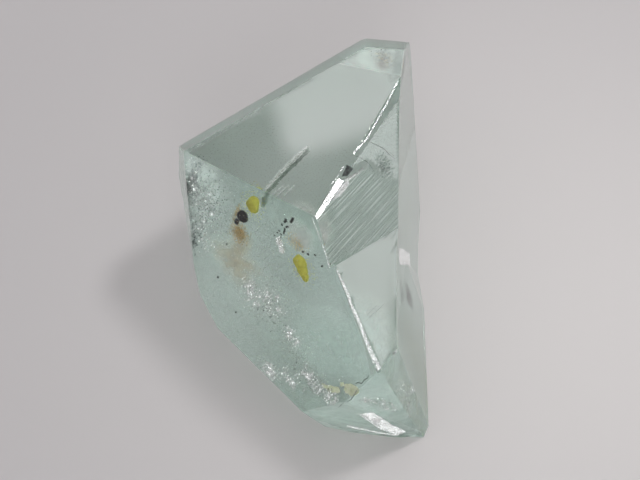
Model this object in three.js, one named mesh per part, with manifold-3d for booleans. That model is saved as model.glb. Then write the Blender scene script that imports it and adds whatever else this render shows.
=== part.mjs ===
// A single transparent liroconite crystal, broken at its near end, resting on a flat facet.
// Millimetres, +Z up. The long axis of the crystal runs along Y, with the broken end at -Y.
// The crystal is one piece. It is cut from a block, one crystal face at a time.
import * as THREE from 'three';
import { mergeVertices } from 'three/addons/utils/BufferGeometryUtils.js';
import Module from 'manifold-3d';

const wasm = await Module();
wasm.setup();

// ---- Driving dimensions ----

// Every face is placed from this point inside the crystal.
const heartHeight = 4;
const heart = new THREE.Vector3(0, 0, heartHeight);

// Side of the rough block. Half of it is more than any face's reach.
const blockSide = 60;

// One entry for each crystal face:
//   bearing  direction in which the face looks, in degrees counter-clockwise from +X, seen from above
//   slope    how far its outward direction rises above the horizontal, in degrees (90 looks straight up)
//   reach    distance of the face from the heart, in millimetres
const faces = {
  // upper side
  roof: { bearing: 119, slope: 74, reach: 4.25 },
  flank: { bearing: -138.5, slope: 25.5, reach: 4.11 },
  striated: { bearing: -17, slope: 37.5, reach: 4.55 },
  slope: { bearing: -5.5, slope: 44, reach: 4.32 },
  rim: { bearing: 125.5, slope: 43, reach: 5.28 },
  tip: { bearing: 88.5, slope: 49.5, reach: 7.12 },

  // the growth step between the striated face and the smooth slope, looking away from the broken end
  step: { bearing: 115.5, slope: 41, reach: -1.2 },

  // right-hand wall: the side, then the skirt at a shallow re-entrant angle, which flares at its foot
  side: { bearing: -4, slope: 8.5, reach: 4.37 },
  skirt: { bearing: -1.5, slope: 10.5, reach: 4.28 },
  flareTop: { bearing: 7, slope: 14, reach: 3.93 },
  flare: { bearing: 0.5, slope: 15, reach: 4.1 },
  sideBack: { bearing: 3.5, slope: 2, reach: 5.33 },

  // broken end
  shoulderEnd: { bearing: -21, slope: 16, reach: 6.47 },
  brokenEnd: { bearing: -84, slope: -1.5, reach: 9.17 },
  toe: { bearing: -98, slope: -12, reach: 8.56 },
  toeLeft: { bearing: -103, slope: -18.5, reach: 8.47 },

  // back wall, left end and underside
  backWall: { bearing: 129.5, slope: 0, reach: 5.4 },
  leftEnd: { bearing: -169.5, slope: 3, reach: 5 },
  leftUnder: { bearing: -171.5, slope: -8.5, reach: 5.04 },
  cornerUnder: { bearing: -159.5, slope: -22, reach: 5.4 },
  flankUnder: { bearing: -139, slope: -28, reach: 5.9 },
  tipUnder: { bearing: 69.5, slope: -8, reach: 9.1 },
  base: { bearing: 0, slope: -90, reach: heartHeight },

  // narrow bevels along three edges
  ridgeBevel: { bearing: -85.5, slope: 57.5, reach: 6.5 },
  roofBevel: { bearing: 2.5, slope: 68, reach: 5.11 },
  toeBevel: { bearing: -90, slope: -8, reach: 8.99 },
};

// The same plane as a face, looking the other way.
const reversed = (face) => ({ bearing: face.bearing + 180, slope: -face.slope, reach: -face.reach });

// Each cut takes away what lies outside all of its faces at once. One face alone gives a plain facet.
// Two faces together take a wedge, which leaves a step or a re-entrant angle.
const cuts = [
  [faces.base],
  [faces.roof],
  [faces.flank],
  [faces.rim],
  [faces.tip],
  [faces.backWall],
  [faces.leftEnd],
  [faces.leftUnder],
  [faces.cornerUnder],
  [faces.flankUnder],
  [faces.tipUnder],
  [faces.striated, faces.step],
  [faces.slope, reversed(faces.step)],
  [faces.side, faces.skirt, faces.flareTop],
  [faces.side, faces.skirt, faces.flare],
  [faces.sideBack],
  [faces.shoulderEnd],
  [faces.brokenEnd],
  [faces.toe],
  [faces.toeLeft],
  [faces.ridgeBevel],
  [faces.roofBevel],
  [faces.toeBevel],
];

// Finish: polished, see-through and very pale aqua.
const clearColour = 0xbfd3cd;
const clearOpacity = 0.6;
const clearRoughness = 0.08;

// ---- Cutting ----

// Unit vector that points out of a face.
function outward({ bearing, slope }) {
  const around = THREE.MathUtils.degToRad(bearing);
  const up = THREE.MathUtils.degToRad(slope);
  return new THREE.Vector3(
    Math.cos(up) * Math.cos(around),
    Math.cos(up) * Math.sin(around),
    Math.sin(up),
  );
}

// A closed three.js geometry as a solid that can be cut.
function toSolid(geometry) {
  const bare = geometry.clone();
  bare.deleteAttribute('normal');
  bare.deleteAttribute('uv');
  const merged = mergeVertices(bare);
  return new wasm.Manifold(new wasm.Mesh({
    numProp: 3,
    vertProperties: Float32Array.from(merged.attributes.position.array),
    triVerts: Uint32Array.from(merged.index.array),
  }));
}

// A solid back as a three.js geometry with flat facets.
function toGeometry(solid) {
  const mesh = solid.getMesh();
  const geometry = new THREE.BufferGeometry();
  geometry.setAttribute('position', new THREE.BufferAttribute(mesh.vertProperties, 3));
  geometry.setIndex(new THREE.BufferAttribute(mesh.triVerts, 1));
  const flat = geometry.toNonIndexed();
  flat.computeVertexNormals();
  return flat;
}

// A big cube whose near side lies on the face, so it holds everything outside that face.
function outside(face) {
  const side = 2 * blockSide;
  const direction = outward(face);
  const cube = new THREE.BoxGeometry(side, side, side);
  cube.translate(0, 0, side / 2 + face.reach);
  cube.applyQuaternion(new THREE.Quaternion().setFromUnitVectors(new THREE.Vector3(0, 0, 1), direction));
  cube.translate(heart.x, heart.y, heart.z);
  return toSolid(cube);
}

// What lies outside every face of a cut.
function wedge(cut) {
  return cut.map(outside).reduce((both, next) => both.intersect(next));
}

function crystalGeometry() {
  const block = toSolid(new THREE.BoxGeometry(blockSide, blockSide, blockSide));
  const solid = cuts.reduce((left, cut) => left.subtract(wedge(cut)), block);
  const geometry = toGeometry(solid);

  // The origin is the middle of the crystal's box, on the surface that it rests on.
  geometry.computeBoundingBox();
  const box = geometry.boundingBox;
  geometry.translate(-(box.min.x + box.max.x) / 2, -(box.min.y + box.max.y) / 2, -box.min.z);
  return geometry;
}

// ---- The part ----

const clearMaterial = new THREE.MeshStandardMaterial({
  color: clearColour,
  roughness: clearRoughness,
  metalness: 0,
  transparent: true,
  opacity: clearOpacity,
});

const crystal = new THREE.Mesh(crystalGeometry(), clearMaterial);
crystal.name = 'crystal';

const group = new THREE.Group();
group.add(crystal);

export default group;
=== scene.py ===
"""A liroconite crystal on pale paper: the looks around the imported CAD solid."""

import math
import random

import bmesh
import bpy
from mathutils import Matrix, Vector, noise
from mathutils.bvhtree import BVHTree


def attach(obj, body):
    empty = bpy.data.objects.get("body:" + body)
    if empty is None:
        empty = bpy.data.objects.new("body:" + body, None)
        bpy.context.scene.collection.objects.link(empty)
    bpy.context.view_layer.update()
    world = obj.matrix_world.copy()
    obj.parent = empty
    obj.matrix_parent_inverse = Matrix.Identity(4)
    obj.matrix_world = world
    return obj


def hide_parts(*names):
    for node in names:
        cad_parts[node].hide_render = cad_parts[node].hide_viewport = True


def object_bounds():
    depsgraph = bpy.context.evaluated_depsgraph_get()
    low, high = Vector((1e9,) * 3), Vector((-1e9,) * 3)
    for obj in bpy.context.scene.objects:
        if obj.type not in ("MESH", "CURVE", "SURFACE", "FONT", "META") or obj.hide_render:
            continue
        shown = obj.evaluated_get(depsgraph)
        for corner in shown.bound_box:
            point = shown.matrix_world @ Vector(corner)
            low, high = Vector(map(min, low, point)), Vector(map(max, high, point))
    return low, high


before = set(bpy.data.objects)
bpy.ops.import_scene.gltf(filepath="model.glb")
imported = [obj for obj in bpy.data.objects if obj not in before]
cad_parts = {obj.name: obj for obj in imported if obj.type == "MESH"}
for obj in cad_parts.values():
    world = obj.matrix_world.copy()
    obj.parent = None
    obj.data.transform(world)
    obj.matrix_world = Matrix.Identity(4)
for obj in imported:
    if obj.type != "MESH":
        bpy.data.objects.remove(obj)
cad_low, cad_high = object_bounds()

MM = 0.001
centre = (cad_low + cad_high) / 2


# ---- Camera, light and floor ----

def add_object(name, data):
    made = bpy.data.objects.new(name, data)
    bpy.context.scene.collection.objects.link(made)
    return made


def aim(item, place, direction):
    """Puts a camera or light here, with its back turned in this direction."""
    item.location = place
    item.rotation_mode = "QUATERNION"
    item.rotation_quaternion = direction.to_track_quat("Z", "Y")


CAMERA_ELEVATION = math.radians(55)
TO_CAMERA = Vector((0, -math.cos(CAMERA_ELEVATION), math.sin(CAMERA_ELEVATION)))
CAMERA_DISTANCE = 115.92 * MM
CAMERA_TARGET = Vector((0.7735, -0.628, -1.2)) * MM
CAMERA_LENS = 149.2
CAMERA_SENSOR = 36
CAMERA_NEAREST = 1 * MM
CAMERA_FARTHEST = 10


def add_camera():
    data = bpy.data.cameras.new("camera")
    data.lens = CAMERA_LENS
    data.sensor_width = CAMERA_SENSOR
    data.clip_start = CAMERA_NEAREST
    data.clip_end = CAMERA_FARTHEST
    camera = add_object("camera", data)
    aim(camera, centre + CAMERA_TARGET + TO_CAMERA * CAMERA_DISTANCE, TO_CAMERA)
    bpy.context.scene.camera = camera


KEY_DIRECTION = Vector((0.494, 0.333, 1)).normalized()
KEY_DISTANCE = 300 * MM
KEY_SIZE = 56 * MM
KEY_POWER = 0.2


def add_key():
    data = bpy.data.lights.new("key", "AREA")
    data.shape = "DISK"
    data.size = KEY_SIZE
    data.energy = KEY_POWER
    data.cycles.is_caustics_light = True
    aim(add_object("key", data), centre + KEY_DIRECTION * KEY_DISTANCE, KEY_DIRECTION)


WORLD_COLOUR = (0.49, 0.485, 0.49, 1)

# Soft bright patches in the surroundings: bearing (clockwise from +Y) and elevation of the centre,
# half width, half height and softness of the border (all in degrees), and brightness
WINDOWS = {
    "back": (-6.2, 20.2, 5.0, 3.3, 0.4, 5.5),
    "right": (62.0, 3.2, 12.0, 3.6, 0.5, 4.5),
    "front": (180.0, 32.0, 16.0, 6.0, 0.5, 6.5),
}


def node(tree, kind, **settings):
    made = tree.nodes.new(kind)
    for name, value in settings.items():
        setattr(made, name, value)
    return made


def feed(tree, socket, value):
    """Sets an input to a number, or links it to an output."""
    if isinstance(value, (int, float)):
        socket.default_value = value
    else:
        tree.links.new(value, socket)


def maths(tree, operation, *values, clamp=False):
    """A Math node whose inputs are the given numbers or outputs. Returns its output."""
    made = node(tree, "ShaderNodeMath", operation=operation, use_clamp=clamp)
    for socket, value in zip(made.inputs, values):
        feed(tree, socket, value)
    return made.outputs[0]


def soft_step(tree, value, low, high):
    made = node(tree, "ShaderNodeMapRange", interpolation_type="SMOOTHSTEP")
    tree.links.new(value, made.inputs["Value"])
    made.inputs["From Min"].default_value = low
    made.inputs["From Max"].default_value = high
    return made.outputs["Result"]


def cloudiness(tree, position, scale, detail):
    """A random pattern from 0 to 1."""
    made = node(tree, "ShaderNodeTexNoise")
    tree.links.new(position, made.inputs["Vector"])
    made.inputs["Scale"].default_value = scale
    made.inputs["Detail"].default_value = detail
    return made.outputs["Fac"]


def two_tones(tree, share, first, second):
    """The first colour where the share is 0, and the second where it is 1."""
    made = node(tree, "ShaderNodeMix", data_type="RGBA")
    tree.links.new(share, made.inputs["Factor"])
    made.inputs["A"].default_value = (*first, 1)
    made.inputs["B"].default_value = (*second, 1)
    return made.outputs["Result"]


def add_bump(tree, shader, pattern, strength, height):
    made = node(tree, "ShaderNodeBump")
    feed(tree, made.inputs["Strength"], strength)
    made.inputs["Distance"].default_value = height
    tree.links.new(pattern, made.inputs["Height"])
    tree.links.new(made.outputs["Normal"], shader.inputs["Normal"])


def new_material(name):
    material = bpy.data.materials.new(name)
    material.use_nodes = True
    return material, material.node_tree, material.node_tree.nodes["Principled BSDF"]


def toward_window(name):
    bearing, elevation = (math.radians(angle) for angle in WINDOWS[name][:2])
    flat = math.cos(elevation)
    return Vector((flat * math.sin(bearing), flat * math.cos(bearing), math.sin(elevation)))


def add_world():
    world = bpy.data.worlds.new("studio")
    bpy.context.scene.world = world
    world.use_nodes = True
    tree = world.node_tree
    background = tree.nodes["Background"]
    parts = node(tree, "ShaderNodeSeparateXYZ")
    tree.links.new(node(tree, "ShaderNodeTexCoord").outputs["Generated"], parts.inputs[0])
    x, y, z = parts.outputs
    squares = [maths(tree, "MULTIPLY", value, value) for value in (x, y)]
    flat = maths(tree, "SQRT", maths(tree, "ADD", *squares))
    elevation = maths(tree, "MULTIPLY", maths(tree, "ARCTAN2", z, flat), 180 / math.pi)
    bearing = maths(tree, "MULTIPLY", maths(tree, "ARCTAN2", x, y), 180 / math.pi)
    total = 1.0
    for azimuth, height, half_width, half_height, border, brightness in WINDOWS.values():
        across = maths(tree, "WRAP", maths(tree, "SUBTRACT", bearing, azimuth), 180, -180)
        up = maths(tree, "SUBTRACT", elevation, height)
        within = [
            soft_step(tree, maths(tree, "ABSOLUTE", away), half + border, half - border)
            for away, half in ((across, half_width), (up, half_height))]
        total = maths(tree, "MULTIPLY_ADD", maths(tree, "MULTIPLY", *within), brightness, total)
    background.inputs["Color"].default_value = WORLD_COLOUR
    tree.links.new(total, background.inputs["Strength"])


FLOOR_RADIUS = 0.5
FLOOR_DROP = 0.02 * MM
# A pool of light painted on the paper: its lightest place, how far it fades, and the paper's colour in it and
# far from it
PAINTED_LIGHT_MIDDLE = Vector((12, -3, 0)) * MM
PAINTED_LIGHT_FADE = 32 * MM
PAPER_IN_PAINTED_LIGHT = (0.86, 0.83, 0.82)
PAPER_OUT_OF_PAINTED_LIGHT = (0.64, 0.615, 0.62)
PAPER_TOOTH = 0.05 * MM
PAPER_TOOTH_SCALE = 1600


def paper_material():
    """Matt pale paper with a faint tooth, lightest to the right of the crystal in a painted pool of light."""
    material, tree, shader = new_material("paper")
    position = node(tree, "ShaderNodeNewGeometry").outputs["Position"]
    away = node(tree, "ShaderNodeVectorMath", operation="DISTANCE")
    tree.links.new(position, away.inputs[0])
    away.inputs[1].default_value = PAINTED_LIGHT_MIDDLE
    share = soft_step(tree, away.outputs["Value"], 0, PAINTED_LIGHT_FADE)
    tree.links.new(two_tones(tree, share, PAPER_IN_PAINTED_LIGHT, PAPER_OUT_OF_PAINTED_LIGHT), shader.inputs["Base Color"])
    shader.inputs["Roughness"].default_value = 0.9
    add_bump(tree, shader, cloudiness(tree, position, PAPER_TOOTH_SCALE, 3), 0.15, PAPER_TOOTH)
    return material


def add_floor():
    bpy.ops.mesh.primitive_circle_add(
        vertices=96, radius=FLOOR_RADIUS, fill_type="NGON", location=(0, 0, cad_low.z - FLOOR_DROP))
    floor = bpy.context.object
    floor.name = "floor"
    floor.data.materials.append(paper_material())
    floor.cycles.is_caustics_receiver = True


# ---- Facets ----

# bearing (degrees counter-clockwise from +X) and slope of each facet's outward direction, as in the CAD,
# then the spacing (mm) of its fine mesh along the level line and down the slope
FACETS = {
    "roof": (119, 74, 0.5, 0.5),
    "flank": (-138.5, 25.5, 0.065, 0.065),
    "striated": (-17, 37.5, 0.03, 0.12),
    "slope": (-5.5, 44, 0.08, 0.3),
    "rim": (125.5, 43, 0.4, 0.4),
    "tip": (88.5, 49.5, 0.3, 0.3),
    "step": (115.5, 41, 0.15, 0.15),
    "side": (-4, 8.5, 0.3, 0.3),
    "skirt": (-1.5, 10.5, 0.2, 0.2),
    "flareTop": (7, 14, 0.2, 0.2),
    "flare": (0.5, 15, 0.2, 0.2),
    "sideBack": (3.5, 2, 0.4, 0.4),
    "shoulderEnd": (-21, 16, 0.09, 0.09),
    "brokenEnd": (-84, -1.5, 0.08, 0.08),
    "toe": (-98, -12, 0.1, 0.1),
    "toeLeft": (-103, -18.5, 0.12, 0.12),
    "backWall": (129.5, 0, 0.4, 0.4),
    "leftEnd": (-169.5, 3, 0.12, 0.12),
    "leftUnder": (-171.5, -8.5, 0.2, 0.2),
    "cornerUnder": (-159.5, -22, 0.25, 0.25),
    "flankUnder": (-139, -28, 0.2, 0.2),
    "tipUnder": (69.5, -8, 0.4, 0.4),
    "base": (0, -90, 0.6, 0.6),
    "ridgeBevel": (-85.5, 57.5, 0.06, 0.2),
    "roofBevel": (2.5, 68, 0.03, 0.08),
    "toeBevel": (-90, -8, 0.08, 0.08),
}

# The growth lines of the striated face run down towards the tip at this angle from its level line
STRIATION_DIP = math.radians(21)

# Points closer together than this (mm) are one point
SAME_POINT = 0.001


def direction(bearing, slope):
    around, up = math.radians(bearing), math.radians(slope)
    return Vector((math.cos(up) * math.cos(around), math.cos(up) * math.sin(around), math.sin(up)))


class Facet:
    """A flat face of the CAD solid, with the axes in which its details are placed, in mm."""

    def __init__(self, number, name, faces):
        bearing, slope, self.along_step, self.down_step = FACETS[name]
        self.name = name
        self.number = number
        self.outward = direction(bearing, slope)
        area = sum(face.calc_area() for face in faces)
        self.middle = sum((face.calc_center_median() * face.calc_area() for face in faces), Vector()) / area
        level = Vector((0, 0, 1)).cross(self.outward)
        lies_flat = level.length < 0.05
        self.level = Vector((1, 0, 0)) if lies_flat else level.normalized()
        self.fall = self.level.cross(self.outward)
        if self.fall.z > 0:
            self.fall.negate()

    def spot(self, along, down, depth=0):
        """The point this far along the level line, down the slope and below the surface, from the middle."""
        return self.middle + self.level * along + self.fall * down - self.outward * depth

    def place(self, point):
        """How far along the level line and down the slope a point lies."""
        away = point - self.middle
        return away.dot(self.level), away.dot(self.fall)


def crystal_facets():
    """The CAD crystal as a mesh in mm with one face for each facet, and its named facets."""
    mesh = bmesh.new()
    mesh.from_mesh(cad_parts["crystal"].data)
    bmesh.ops.scale(mesh, vec=Vector((1, 1, 1)) / MM, verts=mesh.verts)
    bmesh.ops.remove_doubles(mesh, verts=mesh.verts, dist=SAME_POINT)
    label = mesh.faces.layers.int.new("facet")
    names = list(FACETS)
    wanted = {name: direction(*values[:2]) for name, values in FACETS.items()}
    groups = {}
    for face in mesh.faces:
        nearest = max(names, key=lambda name: wanted[name].dot(face.normal))
        face[label] = names.index(nearest)
        groups.setdefault(nearest, []).append(face)
    facets = {name: Facet(names.index(name), name, faces) for name, faces in groups.items()}
    inner = [edge for edge in mesh.edges if edge.link_faces[0][label] == edge.link_faces[1][label]]
    bmesh.ops.dissolve_edges(mesh, edges=inner, use_verts=False)
    return mesh, facets


# ---- Fine mesh ----

def cut_at(mesh, label, facet, across, places):
    """Cuts one facet along parallel lines. The places are distances in mm along the direction given."""
    ahead = [face for face in mesh.faces if face[label] == facet.number]
    for at in places:
        edges = {edge for face in ahead for edge in face.edges}
        verts = {vertex for face in ahead for vertex in face.verts}
        cut = bmesh.ops.bisect_plane(
            mesh, geom=ahead + list(edges) + list(verts), dist=SAME_POINT,
            plane_co=across * at, plane_no=across)
        faces = [item for item in cut["geom"] if isinstance(item, bmesh.types.BMFace)]
        beyond = at + SAME_POINT
        ahead = [face for face in faces if max(vertex.co.dot(across) for vertex in face.verts) > beyond]


def facet_reach(mesh, label, facet, across):
    faces = [face for face in mesh.faces if face[label] == facet.number]
    reach = [vertex.co.dot(across) for face in faces for vertex in face.verts]
    return min(reach), max(reach)


def cut_strips(mesh, label, facet, across, spacing):
    """Cuts one facet into strips of this width, side by side in the direction given."""
    low, high = facet_reach(mesh, label, facet, across)
    count = round((high - low) / spacing)
    cut_at(mesh, label, facet, across, [low + (high - low) * index / count for index in range(1, count)])


# The bevel above the striated face is a flight of tiny treads that all look the same way: their pitch (mm),
# the riser's share of it, the riser's height in pitches, and the direction across the treads (along, down)
TREAD_PITCH = 0.06
TREAD_RISER = 0.18
TREAD_TILT = 0.19
TREAD_BEARING = Vector((-0.782, -0.623))

# The treads begin between these places along the bevel, and end this far from the roof's edge (mm)
TREAD_START = (-1.2, -0.9)
TREAD_BORDER = (0.13, 0.09)

# A chip in the bevel: along, down, half sizes, and depth (mm)
CHIP_PLACE = (-1.85, -0.95, 0.3, 0.2)
CHIP_DEPTH = 0.06


def tread_line(facet):
    return facet.level * TREAD_BEARING.x + facet.fall * TREAD_BEARING.y


def cut_treads(mesh, label, facet):
    """Two cuts for each tread: one at the foot and one at the head of its riser."""
    across = tread_line(facet)
    low, high = facet_reach(mesh, label, facet, across)
    count = math.floor((high - low) / TREAD_PITCH)
    first = math.ceil(low / TREAD_PITCH)
    feet = [(first + index) * TREAD_PITCH for index in range(count)]
    cut_at(mesh, label, facet, across, sorted(feet + [foot + TREAD_PITCH * TREAD_RISER for foot in feet]))


def edge_distance(point, facet, other):
    """How far a point on one facet is from the edge with another facet, in mm."""
    return (other.middle - point).dot(other.outward) / facet.outward.cross(other.outward).length


def tread_relief(facet, point, roof):
    """A saw-tooth in a thin strip along the roof: each tread rises steadily, then drops in its riser."""
    along, down = facet.place(point)
    share = fade(edge_distance(point, facet, roof), *TREAD_BORDER) * fade(along, *TREAD_START)
    # A point on a cut belongs to the tread beyond it
    across = point.dot(tread_line(facet)) / TREAD_PITCH + 0.001
    part = across - math.floor(across)
    height = (part - TREAD_RISER) / (1 - TREAD_RISER) if part > TREAD_RISER else 1 - part / TREAD_RISER
    return -TREAD_PITCH * TREAD_TILT * height * share - CHIP_DEPTH * patch(along, down, *CHIP_PLACE)


def striation_line(facets):
    striated = facets["striated"]
    return striated.level * math.cos(STRIATION_DIP) + striated.fall * math.sin(STRIATION_DIP)


def refine(mesh, facets):
    label = mesh.faces.layers.int["facet"]
    line = striation_line(facets)
    for facet in facets.values():
        if facet.name == "roofBevel":
            cut_treads(mesh, label, facet)
            cut_strips(mesh, label, facet, tread_line(facet).cross(facet.outward), facet.down_step)
            continue
        if facet.name in ("striated", "slope"):
            along = (line - facet.outward * line.dot(facet.outward)).normalized()
            across = facet.outward.cross(along)
        else:
            along, across = facet.fall, facet.level
        cut_strips(mesh, label, facet, across, facet.along_step)
        cut_strips(mesh, label, facet, along, facet.down_step)
    bmesh.ops.triangulate(mesh, faces=mesh.faces)


# ---- Relief ----

def ripple(point, size, seed):
    """Smooth random waves about this size, from -1 to 1."""
    return noise.noise(point / size + Vector((seed * 7.3, seed * 3.1, seed * 5.7)))


def waves(point, layers):
    """The sum of several ripples, each given by its height and size (mm) and its seed."""
    return sum(height * ripple(point, size, seed) for height, size, seed in layers)


def patch(along, down, middle_along, middle_down, half_along, half_down):
    """A soft spot: 1 at its middle, fading to 0 outside."""
    away = ((along - middle_along) / half_along) ** 2 + ((down - middle_down) / half_down) ** 2
    return math.exp(-away)


# Rough places on the flank: along, down, half sizes (mm), and strength
FLANK_ROUGH = [
    (-5.2, -0.9, 1.3, 1.2, 0.6),
    (-4.2, 0.6, 0.9, 0.9, 0.4),
    (-0.8, 1.1, 0.8, 0.7, 1.0),
    (0.3, 0.7, 0.8, 0.8, 0.7),
    (1.9, 1.3, 0.7, 0.35, 0.6),
    (3.6, 2.3, 0.9, 0.4, 1.0),
    (4.8, 2.2, 0.5, 0.5, 0.7),
    (2.6, 3.1, 0.6, 0.35, 0.6),
    (1.5, 3.6, 0.5, 0.4, 0.8),
]


def flank_roughness(along, down):
    return min(1.0, sum(strength * patch(along, down, *where) for *where, strength in FLANK_ROUGH))


# Layers of waves on the facets: height and size (mm), and seed. The pits are only in the rough places.
FLANK_SWELL = [(0.01, 1.3, 1), (0.004, 0.5, 2)]
FLANK_PITS = [(0.035, 0.22, 3), (0.02, 0.12, 4)]
END_WAVES = [(0.02, 0.3, 8), (0.01, 0.12, 9)]
ROOF_WAVES = [(0.001, 2, 11)]
PLAIN_WAVES = [(0.004, 1.6, 11)]


def flank_relief(facet, point):
    return waves(point, FLANK_SWELL) + flank_roughness(*facet.place(point)) * waves(point, FLANK_PITS)


def fade(value, low, high):
    """0 at low and 1 at high, straight in between. High may be the smaller of the two."""
    return min(1.0, max(0.0, (value - low) / (high - low)))


# Growth lines, fine and broad: height, width and length of one line (mm), and seed
GROWTH_LINES = [(0.0055, 0.055, 2.5, 0), (0.003, 0.13, 5, 5)]


def growth_lines(facet, point, line):
    across = facet.outward.cross(line)
    place, run = point.dot(across), point.dot(line)
    return sum(
        height * noise.noise(Vector((place / width, run / length, seed)))
        for height, width, length, seed in GROWTH_LINES)


# The broken patch of the striated face: along, down, half sizes, and height (mm)
BREAK_PLACE = (2.0, 0.45, 0.4, 0.45)
BREAK_HEIGHT = 0.05


def striated_relief(facet, point, line):
    """Growth lines below the chipped corner, a broken patch beside it, and a smooth face above."""
    along, down = facet.place(point)
    top = 1.35 + 0.3 * down - 1.2 * max(0, -0.5 - down)
    broken = patch(along, down, *BREAK_PLACE)
    lines = growth_lines(facet, point, line) * fade(top - along, 0, 0.3)
    bulge = 0.065 * (down - 1.2) * fade(top - along, 0.1, -0.5)
    return lines + bulge + broken * BREAK_HEIGHT * ripple(point, 0.09, 13) + 0.002 * ripple(point, 0.9, 14)


def slope_relief(facet, point, line):
    """Growth lines that are strong towards the tip and faint in one place nearer to the broken end."""
    along, down = facet.place(point)
    strength = 0.9 * math.exp(-(3.4 - along) ** 2) + 0.12 * patch(along, down, -0.9, 0.1, 0.7, 0.7)
    return growth_lines(facet, point, line) * min(strength, 1) + 0.004 * ripple(point, 1.5, 5)


SCOOP_SIZE = 0.9
SCOOP_DEPTH = 0.09


def broken_relief(point):
    """Shell-like broken surface: broad scoops with sharp crests, and fine roughness."""
    scoops = SCOOP_DEPTH * (abs(ripple(point, SCOOP_SIZE, 6)) - 0.3)
    return scoops + 0.02 * ripple(point, 0.25, 7)


def relief(facet, point, line, roof):
    """How far the surface stands out at this point, in mm."""
    if facet.name == "flank":
        return flank_relief(facet, point)
    if facet.name == "striated":
        return striated_relief(facet, point, line)
    if facet.name == "slope":
        return slope_relief(facet, point, line)
    if facet.name == "roofBevel":
        return tread_relief(facet, point, roof)
    if facet.name in ("shoulderEnd", "brokenEnd", "toeBevel"):
        return broken_relief(point)
    if facet.name in ("leftEnd", "leftUnder", "toe", "toeLeft"):
        return waves(point, END_WAVES)
    if facet.name == "base":
        return -0.02 * abs(ripple(point, 1.5, 10))
    return waves(point, ROOF_WAVES if facet.name == "roof" else PLAIN_WAVES)


# How matt the facets are. The flank and the bevel with the treads vary, and all others are clear.
FROST = {
    "rim": 0.7, "tip": 0.7, "backWall": 1, "tipUnder": 1, "base": 0.6, "striated": 0.12,
    "ridgeBevel": 0.15, "shoulderEnd": 0.15, "brokenEnd": 0.15, "leftEnd": 0.15, "leftUnder": 0.15,
}
CLEAR_FROST = 0.03


def flank_frost(facet, point):
    """Milky at the left and over the rough places, and clearer at the right."""
    along, down = facet.place(point)
    milky = 0.13 + 0.1 * ripple(point, 1.6, 12)
    clear = 1 / (1 + math.exp(-(along - 1.2) * 1.6))
    return min(1, max(0, milky * (1 - 0.5 * clear) + 0.1 * flank_roughness(along, down)))


def tread_frost(facet, point, roof):
    """Clear in the strip of treads along the roof, and matt below it."""
    along, _ = facet.place(point)
    return 0.05 + 0.6 * fade(along, *TREAD_START) * fade(edge_distance(point, facet, roof), 0.1, 0.18)


def frost(facet, point, roof):
    """How matt the surface is at this point, from 0 to 1."""
    if facet.name == "flank":
        return flank_frost(facet, point)
    if facet.name == "roofBevel":
        return tread_frost(facet, point, roof)
    return FROST.get(facet.name, CLEAR_FROST)


# Facets that stay flat up to their edges, even where a rough facet meets them
POLISHED = ("roof", "rim", "tip", "side", "skirt", "flare", "slope")
SHARP_ANGLE = math.radians(22)


def carve(mesh, facets):
    """Moves every vertex by its facets' relief, and marks the edges between facets sharp."""
    label = mesh.faces.layers.int["facet"]
    matt = mesh.verts.layers.float.new("frost")
    by_number = {facet.number: facet for facet in facets.values()}
    line = striation_line(facets)
    moves = {}
    for vertex in mesh.verts:
        touching = [by_number[number] for number in sorted({face[label] for face in vertex.link_faces})]
        pushes = [facet.outward * relief(facet, vertex.co, line, facets["roof"]) for facet in touching]
        push = sum(pushes, Vector()) / len(touching)
        if len(touching) > 1:
            for facet in touching:
                if facet.name in POLISHED:
                    push -= facet.outward * push.dot(facet.outward)
        moves[vertex] = push
        vertex[matt] = sum(frost(facet, vertex.co, facets["roof"]) for facet in touching) / len(touching)
    for vertex, push in moves.items():
        vertex.co += push
    for face in mesh.faces:
        face.smooth = True
    mesh.normal_update()
    for edge in mesh.edges:
        first, second = edge.link_faces
        edge.smooth = first[label] == second[label] and edge.calc_face_angle() < SHARP_ANGLE


# ---- The crystal ----

REFRACTION = 1.6
ABSORPTION_COLOUR = (0.5, 0.925, 0.75, 1)
ABSORPTION_DENSITY = 25

# The finest grain of the surface, and how much it adds to the lowest share of a matt surface's roughness
SPECKLE_SCALE = 16000
SPECKLE_HEIGHT = 0.02 * MM
SPECKLE_SHARES = (0.8, 0.6)
MATT_ROUGHNESS = 0.5


def clear_material():
    material, tree, shader = new_material("clear_crystal")
    shader.inputs["Base Color"].default_value = (1, 1, 1, 1)
    shader.inputs["IOR"].default_value = REFRACTION
    shader.inputs["Transmission Weight"].default_value = 1
    matt = node(tree, "ShaderNodeAttribute", attribute_name="frost").outputs["Fac"]
    position = node(tree, "ShaderNodeTexCoord").outputs["Object"]
    speckle = cloudiness(tree, position, SPECKLE_SCALE, 3)
    uneven = maths(tree, "MULTIPLY_ADD", speckle, *SPECKLE_SHARES)
    roughness = maths(tree, "MULTIPLY", maths(tree, "MULTIPLY", matt, MATT_ROUGHNESS), uneven)
    tree.links.new(roughness, shader.inputs["Roughness"])
    add_bump(tree, shader, speckle, maths(tree, "SUBTRACT", matt, 0.1, clamp=True), SPECKLE_HEIGHT)
    absorb = tree.nodes.new("ShaderNodeVolumeAbsorption")
    absorb.inputs["Color"].default_value = ABSORPTION_COLOUR
    absorb.inputs["Density"].default_value = ABSORPTION_DENSITY
    tree.links.new(absorb.outputs["Volume"], tree.nodes["Material Output"].inputs["Volume"])
    return material


def add_piece(name, mesh, material):
    """A piece from a mesh in mm, riding on the crystal's body."""
    bmesh.ops.scale(mesh, vec=Vector((MM, MM, MM)), verts=mesh.verts)
    data = bpy.data.meshes.new(name)
    mesh.to_mesh(data)
    mesh.free()
    data.materials.append(material)
    piece = add_object(name, data)
    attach(piece, "root")
    # The light that the crystal focuses falls on what is sealed in it, apart from its brightest mirrors
    piece.cycles.is_caustics_receiver = name not in ("clear_crystal", "bright_flaws")
    return piece


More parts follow.
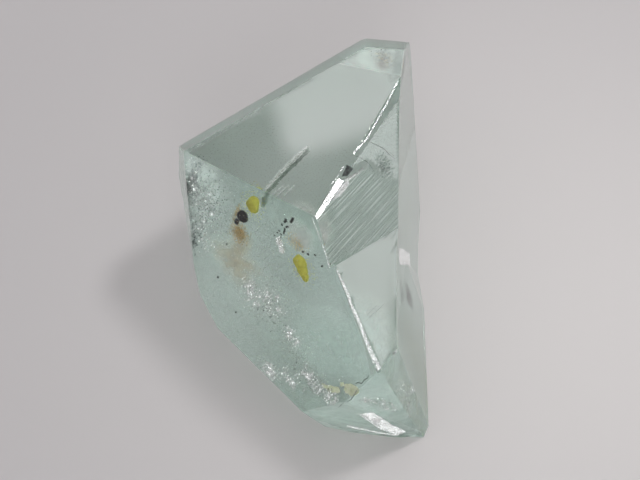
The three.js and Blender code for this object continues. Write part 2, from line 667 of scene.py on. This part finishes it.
def add_crystal():
    """Adds the crystal. Returns its facets and its plain shape, for placing what is sealed in it."""
    mesh, facets = crystal_facets()
    solid = BVHTree.FromBMesh(mesh)
    refine(mesh, facets)
    carve(mesh, facets)
    piece = add_piece("clear_crystal", mesh, clear_material())
    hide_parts("crystal")
    piece.cycles.is_caustics_caster = True
    return facets, solid


# ---- What is sealed in the crystal ----

def tilted_axes(facet, turn, lift=0):
    """Three axes turned within a facet and lifted from it, in degrees. The third faces outward."""
    lifted = Matrix.Rotation(math.radians(lift), 3, facet.outward.cross(Vector((0, 0, 1))))
    fall, outward = lifted @ facet.fall, lifted @ facet.outward
    angle = math.radians(turn)
    first = facet.level * math.cos(angle) + fall * math.sin(angle)
    second = fall * math.cos(angle) - facet.level * math.sin(angle)
    return first, second, outward


def lump(mesh, facet, along, down, depth, half_along, half_down, half_depth,
         turn, uneven=0.25, size=0.25, subdivisions=4):
    """Adds an uneven rounded grain. Its half sizes are in mm, and its turn within the facet is in degrees."""
    made = bmesh.ops.create_icosphere(mesh, subdivisions=subdivisions, radius=1)
    middle = facet.spot(along, down, depth)
    first, second, outward = tilted_axes(facet, turn)
    for vertex in made["verts"]:
        x, y, z = vertex.co
        reach = 1 + uneven * noise.noise(vertex.co * (0.3 / size) + middle * 3)
        offset = first * (x * half_along) + second * (y * half_down) + outward * (z * half_depth)
        vertex.co = middle + offset * reach


def octahedron(mesh, middle, arms):
    """Adds an eight-sided crystal with its six corners at the ends of three arms."""
    tips = [mesh.verts.new(middle + arm * sign) for arm in arms for sign in (1, -1)]
    for a in (0, 1):
        for b in (2, 3):
            for c in (4, 5):
                face = mesh.faces.new([tips[a], tips[b], tips[c]])
                face.normal_update()
                if face.normal.dot(face.calc_center_median() - middle) < 0:
                    face.normal_flip()


def random_vector(rng):
    return Vector([rng.gauss(0, 1) for _ in range(3)])


def flake(mesh, middle, size, rng):
    """Adds a tiny flat crystal, turned at random."""
    first, second = (random_vector(rng).normalized() for _ in range(2))
    third = first.cross(second).normalized()
    octahedron(mesh, middle, [first * size, third.cross(first) * size, third * size * 0.3])


def sealed_in(point, margin=0.05):
    """True if the point lies at least this deep in the crystal, whose plain shape is SOLID."""
    nearest, outward, _, _ = SOLID.find_nearest(point)
    return (nearest - point).dot(outward) > margin


# How far a cloud's flakes scatter, in its half sizes: the usual distance, and the farthest in usual distances
SPREAD = 0.6
SPREAD_LIMIT = 2.2
LEAST_DEPTH = 0.08


def flakes(mesh, facet, count, along, down, depth, half_along, half_down, half_depth, size, seed):
    """Adds a cloud of tiny flakes, densest at its middle."""
    rng = random.Random(seed)
    for _ in range(count):
        spread = [max(-SPREAD_LIMIT, min(SPREAD_LIMIT, rng.gauss(0, 1))) * SPREAD for _ in range(3)]
        point = facet.spot(
            along + spread[0] * half_along, down + spread[1] * half_down,
            max(LEAST_DEPTH, depth + spread[2] * half_depth))
        if sealed_in(point):
            flake(mesh, point, size * rng.uniform(0.5, 1.4), rng)


MINERAL_BUMP_STRENGTH = 0.4
MINERAL_BUMP_HEIGHT = 0.02 * MM


def matt_material(name, light, dark, scale, roughness):
    """An opaque mineral whose colour varies between two tones in small patches."""
    material, tree, shader = new_material(name)
    patches = cloudiness(tree, node(tree, "ShaderNodeTexCoord").outputs["Object"], scale, 4)
    colour = two_tones(tree, soft_step(tree, patches, 0.35, 0.65), dark, light)
    tree.links.new(colour, shader.inputs["Base Color"])
    shader.inputs["Roughness"].default_value = roughness
    add_bump(tree, shader, patches, MINERAL_BUMP_STRENGTH, MINERAL_BUMP_HEIGHT)
    return material


def smooth(mesh):
    for face in mesh.faces:
        face.smooth = True


# Yellow grains under the flank, the right-hand one made of three lumps: along, down, depth, half sizes
# along, down and in depth (mm), and turn (degrees)
YELLOW_LUMPS = [
    (-2.62, -2.46, 0.45, 0.36, 0.36, 0.26, 0),
    (0.66, -1.9, 0.45, 0.38, 0.34, 0.2, 0),
    (0.94, -1.7, 0.42, 0.32, 0.27, 0.17, 40),
    (1.14, -1.54, 0.45, 0.26, 0.19, 0.15, 40),
]

# The powder around each yellow grain: how many flakes, along, down, depth, half sizes along, down and in
# depth and flake size (mm), and seed
YELLOW_POWDER = [
    (700, -2.62, -2.46, 0.4, 0.52, 0.52, 0.3, 0.016, 1),
    (700, 0.88, -1.76, 0.4, 0.6, 0.42, 0.25, 0.016, 2),
]


def add_yellow_grains(flank):
    mesh = bmesh.new()
    for values in YELLOW_LUMPS:
        lump(mesh, flank, *values)
    smooth(mesh)
    for values in YELLOW_POWDER:
        flakes(mesh, flank, *values)
    material = matt_material("yellow_mineral", (0.95, 0.9, 0.12), (0.85, 0.8, 0.08), 6000, 0.6)
    add_piece("yellow_grains", mesh, material)


# The black grain and its small neighbour: the columns of the yellow lumps, unevenness, and its size (mm)
BLACK_GRAINS = [
    (-2.84, -1.62, 0.3, 0.3, 0.33, 0.18, 20, 0.35, 0.6),
    (-3.02, -1.22, 0.3, 0.13, 0.15, 0.1, 0, 0.4, 0.3),
]

# Single dark specks: the columns of the yellow lumps
DARK_SPECKS = [
    (-3.06, 0.08, 0.3, 0.035, 0.06, 0.03, 0),
    (-2.85, 1.81, 0.3, 0.06, 0.05, 0.04, 20),
    (-1.11, 0.99, 0.3, 0.04, 0.04, 0.03, 0),
    (-1.3, 2.55, 0.3, 0.05, 0.05, 0.04, 0),
    (0.63, -2.5, 0.3, 0.05, 0.06, 0.03, 30),
    (0.9, -2.6, 0.3, 0.07, 0.05, 0.03, 10),
    (1.23, -2.82, 0.3, 0.07, 0.04, 0.03, 0),
    (1.76, -2.64, 0.3, 0.04, 0.06, 0.03, 30),
    (1.02, -1.62, 0.28, 0.03, 0.03, 0.02, 0),
]
SPECK_UNEVENNESS = (0.6, 0.3)
NEEDLES = 20


def needle_row():
    """A short row of fine dark needles, growing larger towards the roof."""
    rng = random.Random(21)
    for step in range(NEEDLES):
        part = step / (NEEDLES - 1)
        along = -0.86 + 0.3 * part + rng.choice((-0.12, 0.12)) + rng.uniform(-0.04, 0.04)
        down = -2.1 - 1.35 * part
        size = 0.7 + 0.4 * part
        yield along, down, 0.3, 0.07 * size, 0.04 * size, 0.02, rng.uniform(-30, 10)


def add_dark_grains(flank):
    mesh = bmesh.new()
    specks = [(*values, *SPECK_UNEVENNESS) for values in [*DARK_SPECKS, *needle_row()]]
    for values in BLACK_GRAINS + specks:
        lump(mesh, flank, *values, subdivisions=2)
    material = matt_material("dark_mineral", (0.009, 0.006, 0.005), (0.002, 0.0015, 0.0015), 7000, 0.9)
    add_piece("dark_grains", mesh, material)


# Clouds of iron stain: the facet they lie under, and the columns of the yellow powder
STAIN_CLOUDS = [
    ("roof", 260, -5.09, 2.57, 0.5, 0.3, 0.6, 0.2, 0.018, 8),
    ("flank", 2400, -2.72, -0.82, 0.4, 0.42, 0.36, 0.2, 0.017, 3),
    ("flank", 500, -3.22, -1.55, 0.4, 0.12, 0.35, 0.12, 0.017, 4),
    ("flank", 350, 0.15, -2.55, 0.35, 0.45, 0.25, 0.15, 0.018, 6),
]


def add_brown_stain(facets):
    mesh = bmesh.new()
    for name, *values in STAIN_CLOUDS:
        flakes(mesh, facets[name], *values)
    material = matt_material("iron_stain", (0.95, 0.72, 0.3), (0.78, 0.54, 0.16), 5000, 0.8)
    add_piece("brown_stain", mesh, material)


# The veils side by side under the rim are alike in every column after the second
RIM_VEIL = (0, 0.2, 1.9, 0.45, 0, 0, 0.2, (0.5, 0.88, 0.78))

# Veils of the finest cracks and dust, and dark veils of painted shade: facet, along, down, depth, half
# sizes along and down (mm), turn and lift towards the light (degrees), share of the light that each side
# stops at the middle, and colour
VEILS_AND_SHADE_SHEETS = [
    ("flank", -2.5, 0.7, 0.9, 1.6, 1.15, 0, 44, 0.5, (0.92, 0.84, 0.68)),
    ("flank", -2.4, -0.35, 0.7, 0.6, 0.8, 0, 44, 0.34, (0.86, 0.74, 0.54)),
    ("flank", 0.1, -2.8, 0.8, 1.1, 0.9, 0, 44, 0.5, (0.96, 0.96, 0.94)),
    ("flank", 3.4, 0.6, 1.3, 2.6, 2.0, 0, 44, 0.3, (0.84, 0.99, 0.95)),
    ("flank", -0.6, 1.3, 1.1, 2.0, 1.5, 0, 44, 0.18, (0.92, 0.97, 0.94)),
    ("brokenEnd", 0.0, 0.4, 0.7, 1.3, 0.9, 0, 55, 0.3, (0.88, 0.99, 0.96)),
    ("toe", 0.3, 0.3, 0.7, 1.6, 0.8, 0, 60, 0.16, (0.84, 0.99, 0.95)),
    # Painted shade: dark veils under the flare and the skirt that darken these faces
    ("flare", 1.8, -0.5, 0.12, 0.8, 1.1, 0, 0, 0.5, (0.05, 0.065, 0.07)),
    ("skirt", -1.6, -0.9, 0.12, 0.8, 0.7, 0, 0, 0.42, (0.06, 0.085, 0.1)),
    *(("rim", along, *RIM_VEIL) for along in (-3.6, -1.2, 1.2, 3.6)),
    ("roof", -4.8, 2.1, 0.45, 0.42, 0.55, 0, 0, 0.36, (0.3, 0.22, 0.15)),
    # Painted shade: dark grey and dark teal veils that darken the tip under the roof
    ("roof", -5.3, 2.2, 0.55, 1.3, 1.6, 0, 0, 0.3, (0.2, 0.24, 0.22)),
    ("roof", -5.3, 1.5, 0.4, 0.55, 1.8, 38, 0, 0.3, (0.18, 0.32, 0.27)),
]

VEIL_THICKNESS = 0.01
VEIL_RINGS = 6
VEIL_SPOKES = 24


def drawn_in(middle, reach):
    """The point this far from the middle, or less far if that would leave the crystal."""
    share = 1
    while share > 0.1 and not sealed_in(middle + reach * share, 0.06):
        share -= 0.1
    return middle + reach * share


def veil_rings(middle, first, second, seed):
    """The places of a veil's vertices, in rings from its middle to its uneven border."""
    rings = [[middle]]
    for ring in range(1, VEIL_RINGS + 1):
        places = []
        for spoke in range(VEIL_SPOKES):
            around = 2 * math.pi * spoke / VEIL_SPOKES
            uneven = 1 + 0.35 * noise.noise(Vector((math.cos(around), math.sin(around), seed)) * 1.5)
            reach = (first * math.cos(around) + second * math.sin(around)) * (uneven * ring / VEIL_RINGS)
            places.append(drawn_in(middle, reach))
        rings.append(places)
    return rings


def veil_side(mesh, rings, sink, share, colour):
    """Adds the vertices of one side of a veil, which thins out to nothing towards its border."""
    cover, tint = mesh.verts.layers.float["cover"], mesh.verts.layers.float_color["tint"]
    side = [[mesh.verts.new(place - sink) for place in places] for places in rings]
    for ring, verts in enumerate(side):
        for vertex in verts:
            vertex[cover] = share * (1 - (ring / VEIL_RINGS) ** 2) ** 2
            vertex[tint] = (*colour, 1)
    return side


def veil(mesh, facet, along, down, depth, half_along, half_down, turn, lift, share, colour):
    """Adds a thin closed sheet that is made of rings."""
    first, second, outward = tilted_axes(facet, turn, lift)
    rings = veil_rings(facet.spot(along, down, depth), first * half_along, second * half_down, along * 5)
    sides = [veil_side(mesh, rings, outward * sink, share, colour) for sink in (0, VEIL_THICKNESS)]
    after = [(spoke + 1) % VEIL_SPOKES for spoke in range(VEIL_SPOKES)]
    made = []
    for side in sides:
        for spoke in range(VEIL_SPOKES):
            made.append(mesh.faces.new((side[0][0], side[1][spoke], side[1][after[spoke]])))
            for inner, outer in zip(side[1:], side[2:]):
                corners = (inner[spoke], outer[spoke], outer[after[spoke]], inner[after[spoke]])
                made.append(mesh.faces.new(corners))
    top, bottom = sides[0][-1], sides[1][-1]
    for spoke in range(VEIL_SPOKES):
        made.append(mesh.faces.new((top[spoke], bottom[spoke], bottom[after[spoke]], top[after[spoke]])))
    bmesh.ops.recalc_face_normals(mesh, faces=made)


def veil_and_shade_material():
    """Fine dust and painted shade, whose colour and density are painted on the mesh, uneven in soft patches.
    """
    material, tree, shader = new_material("pale_veils_and_painted_shade")
    tint = node(tree, "ShaderNodeAttribute", attribute_name="tint").outputs["Color"]
    tree.links.new(tint, shader.inputs["Base Color"])
    patches = cloudiness(tree, node(tree, "ShaderNodeTexCoord").outputs["Object"], 2200, 4)
    uneven = maths(tree, "MULTIPLY_ADD", soft_step(tree, patches, 0.3, 0.7), 0.7, 0.65)
    cover = node(tree, "ShaderNodeAttribute", attribute_name="cover").outputs["Fac"]
    tree.links.new(maths(tree, "MULTIPLY", cover, uneven, clamp=True), shader.inputs["Alpha"])
    shader.inputs["Roughness"].default_value = 0.9
    return material


def add_veils_and_painted_shade(facets):
    mesh = bmesh.new()
    mesh.verts.layers.float.new("cover")
    mesh.verts.layers.float_color.new("tint")
    for name, *values in VEILS_AND_SHADE_SHEETS:
        veil(mesh, facets[name], *values)
    smooth(mesh)
    add_piece("pale_veils_and_painted_shade", mesh, veil_and_shade_material())


CRACK_THICKNESS = 0.015


def plate(mesh, facet, outline):
    """Adds a thin closed plate in the facet's direction from its corners, in order."""
    top = [mesh.verts.new(corner) for corner in outline]
    bottom = [mesh.verts.new(corner - facet.outward * CRACK_THICKNESS) for corner in outline]
    made = [mesh.faces.new(top), mesh.faces.new(list(reversed(bottom)))]
    for index in range(len(top)):
        after = (index + 1) % len(top)
        made.append(mesh.faces.new((top[after], top[index], bottom[index], bottom[after])))
    bmesh.ops.recalc_face_normals(mesh, faces=made)


def crack_and_shade_material():
    """The inside of an open crack, and the painted shade in the chip's hollow: dark and only partly
    see-through.
    """
    material = matt_material("dark_crack_and_shade", (0.16, 0.19, 0.18), (0.05, 0.06, 0.06), 9000, 0.5)
    material.node_tree.nodes["Principled BSDF"].inputs["Alpha"].default_value = 0.75
    return material


def ribbon(mesh, facet, path, width, depth):
    """Adds a thin plate along a path of (along, down) places, pointed at both ends."""
    middles = [facet.spot(along, down, depth) for along, down in path]
    last = len(middles) - 1
    sides = []
    for index in range(last + 1):
        ahead = middles[min(index + 1, last)] - middles[max(index - 1, 0)]
        reach = width / 2 * (0.3 if index in (0, last) else 1)
        sides.append(ahead.cross(facet.outward).normalized() * reach)
    for index in range(last):
        near, far = middles[index], middles[index + 1]
        before, after = sides[index], sides[index + 1]
        plate(mesh, facet, [near - before, near + before, far + after, far - after])


# Dark cracks just under the surface: facet, width and depth (mm), and the path as (along, down) places
DARK_CRACKS = [
    ("striated", 0.04, 0.17, [(2.35, -0.91), (2.54, -0.4), (2.73, 0.11), (2.71, 0.5), (2.77, 0.92)]),
    ("striated", 0.04, 0.17, [(2.49, 0.3), (2.42, 0.64)]),
    ("striated", 0.04, 0.17, [(2.83, 0.51), (2.84, 0.81)]),
    ("striated", 0.025, 0.17, [(1.2, -1.2), (1.38, -0.94), (1.48, -0.47), (1.34, 0.04)]),
    ("side", 0.1, 0.03, [(-1.48, -2.24), (-1.89, -2.07), (-2.38, -1.86), (-3.12, -1.55)]),
    ("toe", 0.035, 0.03, [(-0.34, -1.3), (-0.2, -1.7), (-0.07, -2.03)]),
    ("brokenEnd", 0.04, 0.03, [(-1.45, -0.2), (-1.27, -0.34), (-1.03, -1.04)]),
    ("flank", 0.035, 0.03,
     [(5.55, 0.8), (5.7, 0.52), (5.88, 0.44), (5.9, 0.2), (6.02, -0.02), (6.00, -0.22)]),
    ("shoulderEnd", 0.05, 0.03, [(0.06, -2.36), (0.25, -2.3), (0.41, -2.17)]),
    ("slope", 0.02, 0.03, [(-1.77, -0.42), (-1.23, -0.06), (-0.73, 0.31), (-0.26, 0.62)]),
    ("slope", 0.02, 0.03, [(-1.5, -0.42), (-1.02, -0.1), (-0.6, 0.2)]),
]

# A dark plate of painted shade in the hollow of the chip on the bevel: its corners as (along, down, depth)
CHIP_SHADE_PLATE = [(-2.19, -1.24, 0.07), (-1.5, -0.97, 0.07), (-1.62, -0.66, 0.07), (-2.1, -0.97, 0.07)]


def add_dark_cracks_and_chip_shade(facets):
    mesh = bmesh.new()
    for name, width, depth, path in DARK_CRACKS:
        ribbon(mesh, facets[name], path, width, depth)
    # The chip's hollow gets a dark plate of painted shade
    bevel = facets["roofBevel"]
    plate(mesh, bevel, [bevel.spot(*corner) for corner in CHIP_SHADE_PLATE])
    add_piece("dark_cracks_and_chip_shade", mesh, crack_and_shade_material())


def inside(facet, toward):
    """The direction in the crystal of light that comes through a facet from this direction outside."""
    cosine = toward.dot(facet.outward)
    bent = (toward - facet.outward * cosine) / REFRACTION
    return bent + facet.outward * math.sqrt(1 - bent.length_squared)


def glint_normal(facet, light):
    """How a tiny mirror under a facet has to face to send this light back out to the camera."""
    toward = KEY_DIRECTION if light == "key" else toward_window(light)
    return (inside(facet, TO_CAMERA) + inside(facet, toward)).normalized()


def shard(mesh, middle, size, outward, rng):
    """Adds a tiny flat plate that faces the given way."""
    first = outward.orthogonal().normalized()
    first.rotate(Matrix.Rotation(rng.uniform(0, 2 * math.pi), 3, outward))
    second = outward.cross(first)
    octahedron(mesh, middle, [first * size, second * size * rng.uniform(0.3, 1), outward * size * 0.03])


def shards(mesh, facet, path, reach, count, size, outward, jitter, depth, rng):
    """Scatters shards along a path of (along, down, share of the reach) places. The jitter is in radians."""
    farthest = len(path) - 1.001  # just before the last place, so that there is always a next one
    for _ in range(count):
        part = rng.uniform(0, farthest)
        start, end = path[int(part)], path[int(part) + 1]
        along, down, share = (a + (b - a) * (part - int(part)) for a, b in zip(start, end))
        off = max(-1, min(1, rng.gauss(0, 0.5))) * reach * share
        run = Vector((end[0] - start[0], end[1] - start[1])).normalized()
        middle = facet.spot(along - run.y * off, down + run.x * off, depth * rng.uniform(0.8, 1.6))
        facing = (outward + random_vector(rng) * jitter).normalized()
        if sealed_in(middle, 0.02):
            shard(mesh, middle, size * rng.uniform(0.5, 1.3), facing, rng)


# Bright flaws just under the surface: the facet they lie under, the light they mirror, half width (mm),
# how many, size (mm), spread of their directions (radians), depth (mm), and the path as
# (along, down, share of the half width) places
BRIGHT_FLAWS = [
    ("roofBevel", "key", 0.17, 1500, 0.04, 0.04, 0.03,
     [(-4.75, -2.62, 0.3), (-4.2, -2.25, 0.6), (-3.7, -2.0, 0.9), (-3.07, -1.62, 1), (-2.4, -1.3, 1)]),
    ("striated", "right", 0.13, 1200, 0.04, 0.03, 0.05,
     [(-2.2, -2.1, 0.3), (-1.6, -1.8, 0.6), (-0.96, -1.44, 1), (-0.5, -1.3, 0.9), (-0.2, -1.22, 0.5)]),
    ("striated", "right", 0.045, 320, 0.035, 0.03, 0.14,
     [(-0.25, -1.36, 1.5), (0.17, -1.08, 1), (0.58, -0.84, 0.7), (1.03, -0.62, 0.3)]),
    ("roof", "key", 0.03, 80, 0.025, 0.06, 0.03,
     [(1.03, -3.95, 1), (0.64, -3.72, 1), (0.27, -3.42, 1), (0.0, -3.22, 1)]),
    ("roofBevel", "key", 0.026, 800, 0.026, 0.05, 0.03,
     [(-0.85, -0.62, 1), (-0.38, -0.31, 1), (0.09, 0.05, 1), (0.5, 0.24, 1), (1.36, 0.66, 0.8),
      (2.11, 1.03, 0.8), (2.85, 1.36, 0.7), (3.66, 1.7, 0.6)]),
    ("flank", "front", 0.03, 150, 0.028, 0.1, 0.03,
     [(0.48, -4.3, 0.6), (0.96, -3.95, 1), (1.6, -3.5, 1), (2.2, -2.98, 1.3)]),
    ("striated", "right", 0.03, 110, 0.02, 0.1, 0.03,
     [(-3.4, 0.1, 1), (-2.63, 0.38, 1), (-1.71, 0.95, 1), (-0.86, 1.64, 1), (0.01, 2.27, 1)]),
    ("ridgeBevel", "front", 0.11, 1200, 0.034, 0.07, 0.03,
     [(-0.95, -2.6, 0.3), (-0.77, -2.2, 0.3), (-0.53, -1.6, 0.35), (-0.45, -1.23, 0.4), (-0.3, -0.84, 0.45),
      (-0.17, -0.51, 0.5), (-0.0, 0.04, 0.6), (0.17, 0.63, 0.8), (0.38, 1.14, 1), (0.55, 1.6, 1)]),
    ("skirt", "right", 0.3, 2600, 0.08, 0.012, 0.08, [(-0.25, -1.6, 1), (0.5, -0.45, 1), (1.5, 1.3, 0.8)]),
    ("toeBevel", "front", 0.3, 4400, 0.05, 0.03, 0.05,
     [(-1.16, -1.29, 1), (-0.73, -0.64, 1), (-0.29, 0.12, 1), (0.15, 0.55, 0.9), (0.42, 0.88, 0.8)]),
    ("toe", "front", 0.07, 1100, 0.035, 0.04, 0.08,
     [(0.0, 1.0, 1), (0.6, 1.15, 1), (1.42, 1.35, 1), (2.2, 1.45, 1)]),
    ("shoulderEnd", "right", 0.1, 60, 0.04, 0.12, 0.05, [(0.2, -2.3, 1), (0.5, -2.1, 1)]),
    ("shoulderEnd", "right", 0.12, 60, 0.04, 0.12, 0.05, [(0.5, 0.5, 1), (0.64, 0.9, 1)]),
    ("flank", "front", 0.2, 170, 0.04, 0.1, 0.1, [(-0.75, -2.2, 0.6), (-0.5, -2.0, 1), (-0.2, -1.75, 0.5)]),
    ("brokenEnd", "front", 0.4, 200, 0.045, 0.25, 0.06, [(-0.9, -0.3, 0.7), (0.0, 0.2, 1), (0.7, 0.9, 0.8)]),
    ("shoulderEnd", "right", 0.5, 200, 0.045, 0.25, 0.06,
     [(-0.3, -0.9, 0.6), (0.0, 0.2, 1), (0.0, 1.5, 0.6)]),
]

# Healed cracks: a pale strip deep below the roof and three fine lines beside it, in the same columns
HEALED_CRACKS = [
    ("roof", "back", 0.1, 3000, 0.06, 0.02, 0.8,
     [(3.2, -2.15, 0.8), (2.1, -1.5, 1), (1.2, -1.07, 1), (0.45, -0.74, 0.3)]),
    ("roof", "back", 0.03, 90, 0.03, 0.05, 0.3, [(3.2, -2.85, 0.4), (2.95, -2.74, 1), (2.6, -2.6, 0.4)]),
    ("roof", "back", 0.04, 130, 0.03, 0.05, 0.3, [(3.1, -3.05, 0.4), (2.8, -2.9, 1), (2.4, -2.72, 0.4)]),
    ("roof", "back", 0.03, 90, 0.03, 0.05, 0.3, [(2.85, -3.2, 0.4), (2.5, -3.02, 1), (2.2, -2.88, 0.4)]),
]

# Yellow-green flakes under the flank near the broken end, in the same columns
GREEN_FLAKES = [
    ("flank", "front", 0.24, 520, 0.06, 0.11, 0.1, [(5.22, 1.32, 0.7), (5.5, 1.15, 1), (5.8, 0.95, 0.6)]),
    ("flank", "front", 0.15, 340, 0.06, 0.11, 0.1, [(4.42, 1.98, 0.7), (4.7, 1.82, 1), (5.0, 1.6, 0.6)]),
    ("flank", "front", 0.08, 70, 0.05, 0.11, 0.1, [(4.15, 2.05, 1), (4.35, 2.0, 0.8)]),
    ("flank", "front", 0.07, 60, 0.05, 0.11, 0.1, [(4.95, 1.3, 1), (5.08, 1.2, 0.8)]),
]


def mirror_material(name, light, dark, roughness):
    material = matt_material(name, light, dark, 9000, roughness)
    material.node_tree.nodes["Principled BSDF"].inputs["Metallic"].default_value = 1
    return material


def flaw_mesh(facets, flaws, rng):
    mesh = bmesh.new()
    for name, light, reach, count, size, jitter, depth, path in flaws:
        outward = glint_normal(facets[name], light)
        shards(mesh, facets[name], path, reach, count, size, outward, jitter, depth, rng)
    return mesh


# The glints in a rough place of strength 1: how many, size (mm), and spread of their directions (radians)
GLINTS = [(190, 0.034, 0.24), (35, 0.07, 0.12)]
GLINT_DEPTH = 0.06

# The scratches in a rough place of strength 1: how many, which way they run (along, down), the shortest and
# longest (mm), and the shards that each is made of
STREAKS = 16
STREAK_RUN = Vector((0.33, -0.94))
STREAK_LENGTHS = (0.15, 0.5)
STREAK_SHARDS = {"reach": 0.015, "count": 10, "size": 0.022, "jitter": 0.1, "depth": 0.05}


def add_flank_glints(mesh, flank, rng):
    """Loose glints and short scratches in the rough places of the flank."""
    outward = glint_normal(flank, "front")
    for along, down, half_along, half_down, strength in FLANK_ROUGH:
        sweep = Vector((half_along * 0.7, half_down * 0.3))
        path = [(along - sweep.x, down - sweep.y, 1), (along + sweep.x, down + sweep.y, 1)]
        for count, size, jitter in GLINTS:
            number = round(count * strength)
            shards(mesh, flank, path, half_down * 0.8, number, size, outward, jitter, GLINT_DEPTH, rng)
        for _ in range(round(STREAKS * strength)):
            start = Vector((along + rng.gauss(0, 0.6) * half_along, down + rng.gauss(0, 0.6) * half_down))
            end = start + STREAK_RUN * rng.uniform(*STREAK_LENGTHS)
            shards(mesh, flank, [(*start, 0.5), (*end, 1)], outward=outward, rng=rng, **STREAK_SHARDS)


def add_bright_flaws(facets):
    """Tiny open cracks that mirror the light."""
    rng = random.Random(8)
    mesh = flaw_mesh(facets, BRIGHT_FLAWS, rng)
    add_flank_glints(mesh, facets["flank"], rng)
    material = mirror_material("open_crack", (0.96, 0.97, 0.96), (0.82, 0.85, 0.84), 0.17)
    add_piece("bright_flaws", mesh, material)


def add_healed_cracks(facets):
    mesh = flaw_mesh(facets, HEALED_CRACKS, random.Random(9))
    material = mirror_material("healed_crack", (0.95, 0.97, 0.95), (0.82, 0.86, 0.83), 0.26)
    add_piece("healed_cracks", mesh, material)


def add_green_flakes(facets):
    mesh = flaw_mesh(facets, GREEN_FLAKES, random.Random(10))
    material = mirror_material("green_flake", (0.88, 0.92, 0.72), (0.74, 0.8, 0.56), 0.4)
    add_piece("green_flakes", mesh, material)


DUST_DEPTH = 0.18
DUST_HALF_DEPTH = 0.1

# Dust clouds: facet, how many flakes, along, down, and half sizes along and down (mm)
GREY_DUST = [
    ("flank", 900, -5.0, -1.0, 1.3, 1.1),
    ("flank", 700, -5.9, -1.2, 0.3, 1.3),
    ("leftEnd", 260, 0.2, -0.9, 0.4, 0.4),
    ("leftEnd", 260, 1.2, 0.1, 0.5, 0.5),
    ("leftEnd", 200, 1.9, 0.8, 0.4, 0.4),
    ("flank", 350, -4.7, 0.9, 0.4, 1.2),
    ("flank", 160, 0.3, 0.9, 0.8, 0.9),
    ("flank", 120, 3.6, 2.3, 0.8, 0.4),
    ("roof", 200, -5.09, 2.57, 0.3, 0.6),
    ("flare", 300, 1.7, -0.7, 0.5, 0.7),
    ("striated", 160, 2.0, 0.45, 0.4, 0.4),
]
PALE_DUST = [
    ("flank", 1100, -4.9, -0.7, 1.5, 1.3),
    ("flank", 700, -0.4, 0.6, 1.4, 1.0),
    ("flank", 400, 2.6, 1.8, 1.3, 0.6),
    ("flank", 400, -1.2, -1.0, 1.4, 1.2),
    ("flank", 250, 1.5, 3.6, 0.6, 0.5),
    ("flank", 300, 3.6, 2.3, 0.8, 0.5),
]


def add_dust(name, facets, light, dark, clouds, size, seed):
    """Fine dust sealed just under the surface."""
    mesh = bmesh.new()
    for index, (facet, count, *spot, half_along, half_down) in enumerate(clouds):
        half_sizes = (half_along, half_down, DUST_HALF_DEPTH)
        flakes(mesh, facets[facet], count, *spot, DUST_DEPTH, *half_sizes, size, seed + index)
    add_piece(name, mesh, matt_material(name, light, dark, 9000, 0.7))


def add_grey_dust(facets):
    add_dust("grey_dust", facets, (0.2, 0.24, 0.23), (0.07, 0.09, 0.09), GREY_DUST, 0.028, 40)


def add_pale_dust(facets):
    add_dust("pale_dust", facets, (0.92, 0.94, 0.92), (0.8, 0.83, 0.8), PALE_DUST, 0.024, 60)


def set_look():
    bpy.context.scene.view_settings.view_transform = "Standard"
    cycles = bpy.context.scene.cycles
    cycles.use_denoising = True
    cycles.max_bounces = 32
    cycles.transmission_bounces = 28
    cycles.glossy_bounces = 16
    cycles.blur_glossy = 1
    cycles.sample_clamp_indirect = 0
    cycles.caustics_refractive = True
    cycles.caustics_reflective = True


add_camera()
add_key()
add_world()
add_floor()
facets, SOLID = add_crystal()
add_yellow_grains(facets["flank"])
add_dark_grains(facets["flank"])
add_brown_stain(facets)
add_veils_and_painted_shade(facets)
add_dark_cracks_and_chip_shade(facets)
add_bright_flaws(facets)
add_healed_cracks(facets)
add_green_flakes(facets)
add_grey_dust(facets)
add_pale_dust(facets)
set_look()
